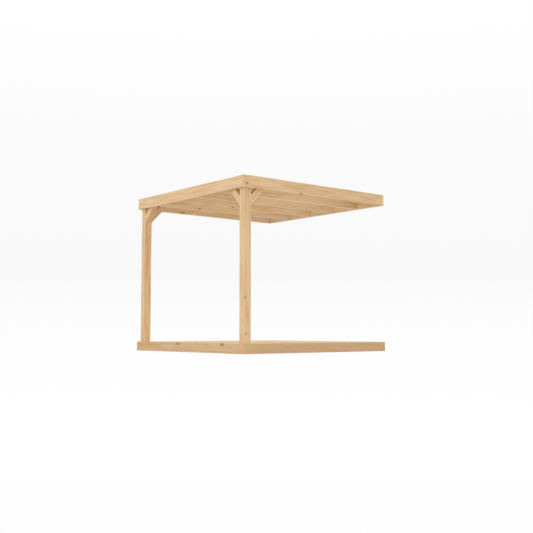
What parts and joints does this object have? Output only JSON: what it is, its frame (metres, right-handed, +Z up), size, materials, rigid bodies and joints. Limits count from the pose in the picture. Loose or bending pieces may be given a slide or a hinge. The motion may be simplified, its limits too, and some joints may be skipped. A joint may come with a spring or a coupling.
{
  "type": "attached patio cover",
  "caption": "Timber patio cover with a boarded floor, two front posts with knee braces, and a flat joisted roof whose back board bolts to a wall.",
  "frame": {"origin": "on the ground, under the middle of the object's outline", "axes": "+Z up, +Y towards the wall that the roof is bolted to, +X along that wall, to the right as seen from the open front"},
  "size_m": [3, 2.96, 2.61],
  "materials": {
    "frame_timber": "planed spruce, bare",
    "floor_boards": "planed spruce boards, bare",
    "roof_boards": "rough-planed spruce boards, bare",
    "fixings": "yellow zinc-plated steel screws"
  },
  "bodies": {
    "root": {"base_rim_front": "frame_timber", "base_rim_back": "frame_timber", "base_rim_left": "frame_timber", "base_rim_right": "frame_timber", "floor_joist_1": "frame_timber", "floor_joist_2": "frame_timber", "floor_joist_3": "frame_timber", "floor_joist_4": "frame_timber", "floor_joist_5": "frame_timber", "floor_batten_left": "frame_timber", "floor_batten_right": "frame_timber", "floor_deck": "floor_boards", "post_left": "frame_timber", "post_right": "frame_timber", "brace_left_front": "frame_timber", "brace_left_side": "frame_timber", "brace_right_front": "frame_timber", "brace_right_side": "frame_timber", "roof_ring_front": "frame_timber", "roof_ring_left": "frame_timber", "roof_ring_right": "frame_timber", "roof_ring_wall": "frame_timber", "roof_joist_1": "frame_timber", "roof_joist_2": "frame_timber", "roof_joist_3": "frame_timber", "roof_joist_4": "frame_timber", "roof_batten_left": "frame_timber", "roof_batten_right": "frame_timber", "roof_deck": "roof_boards"}
  },
  "joints": []
}
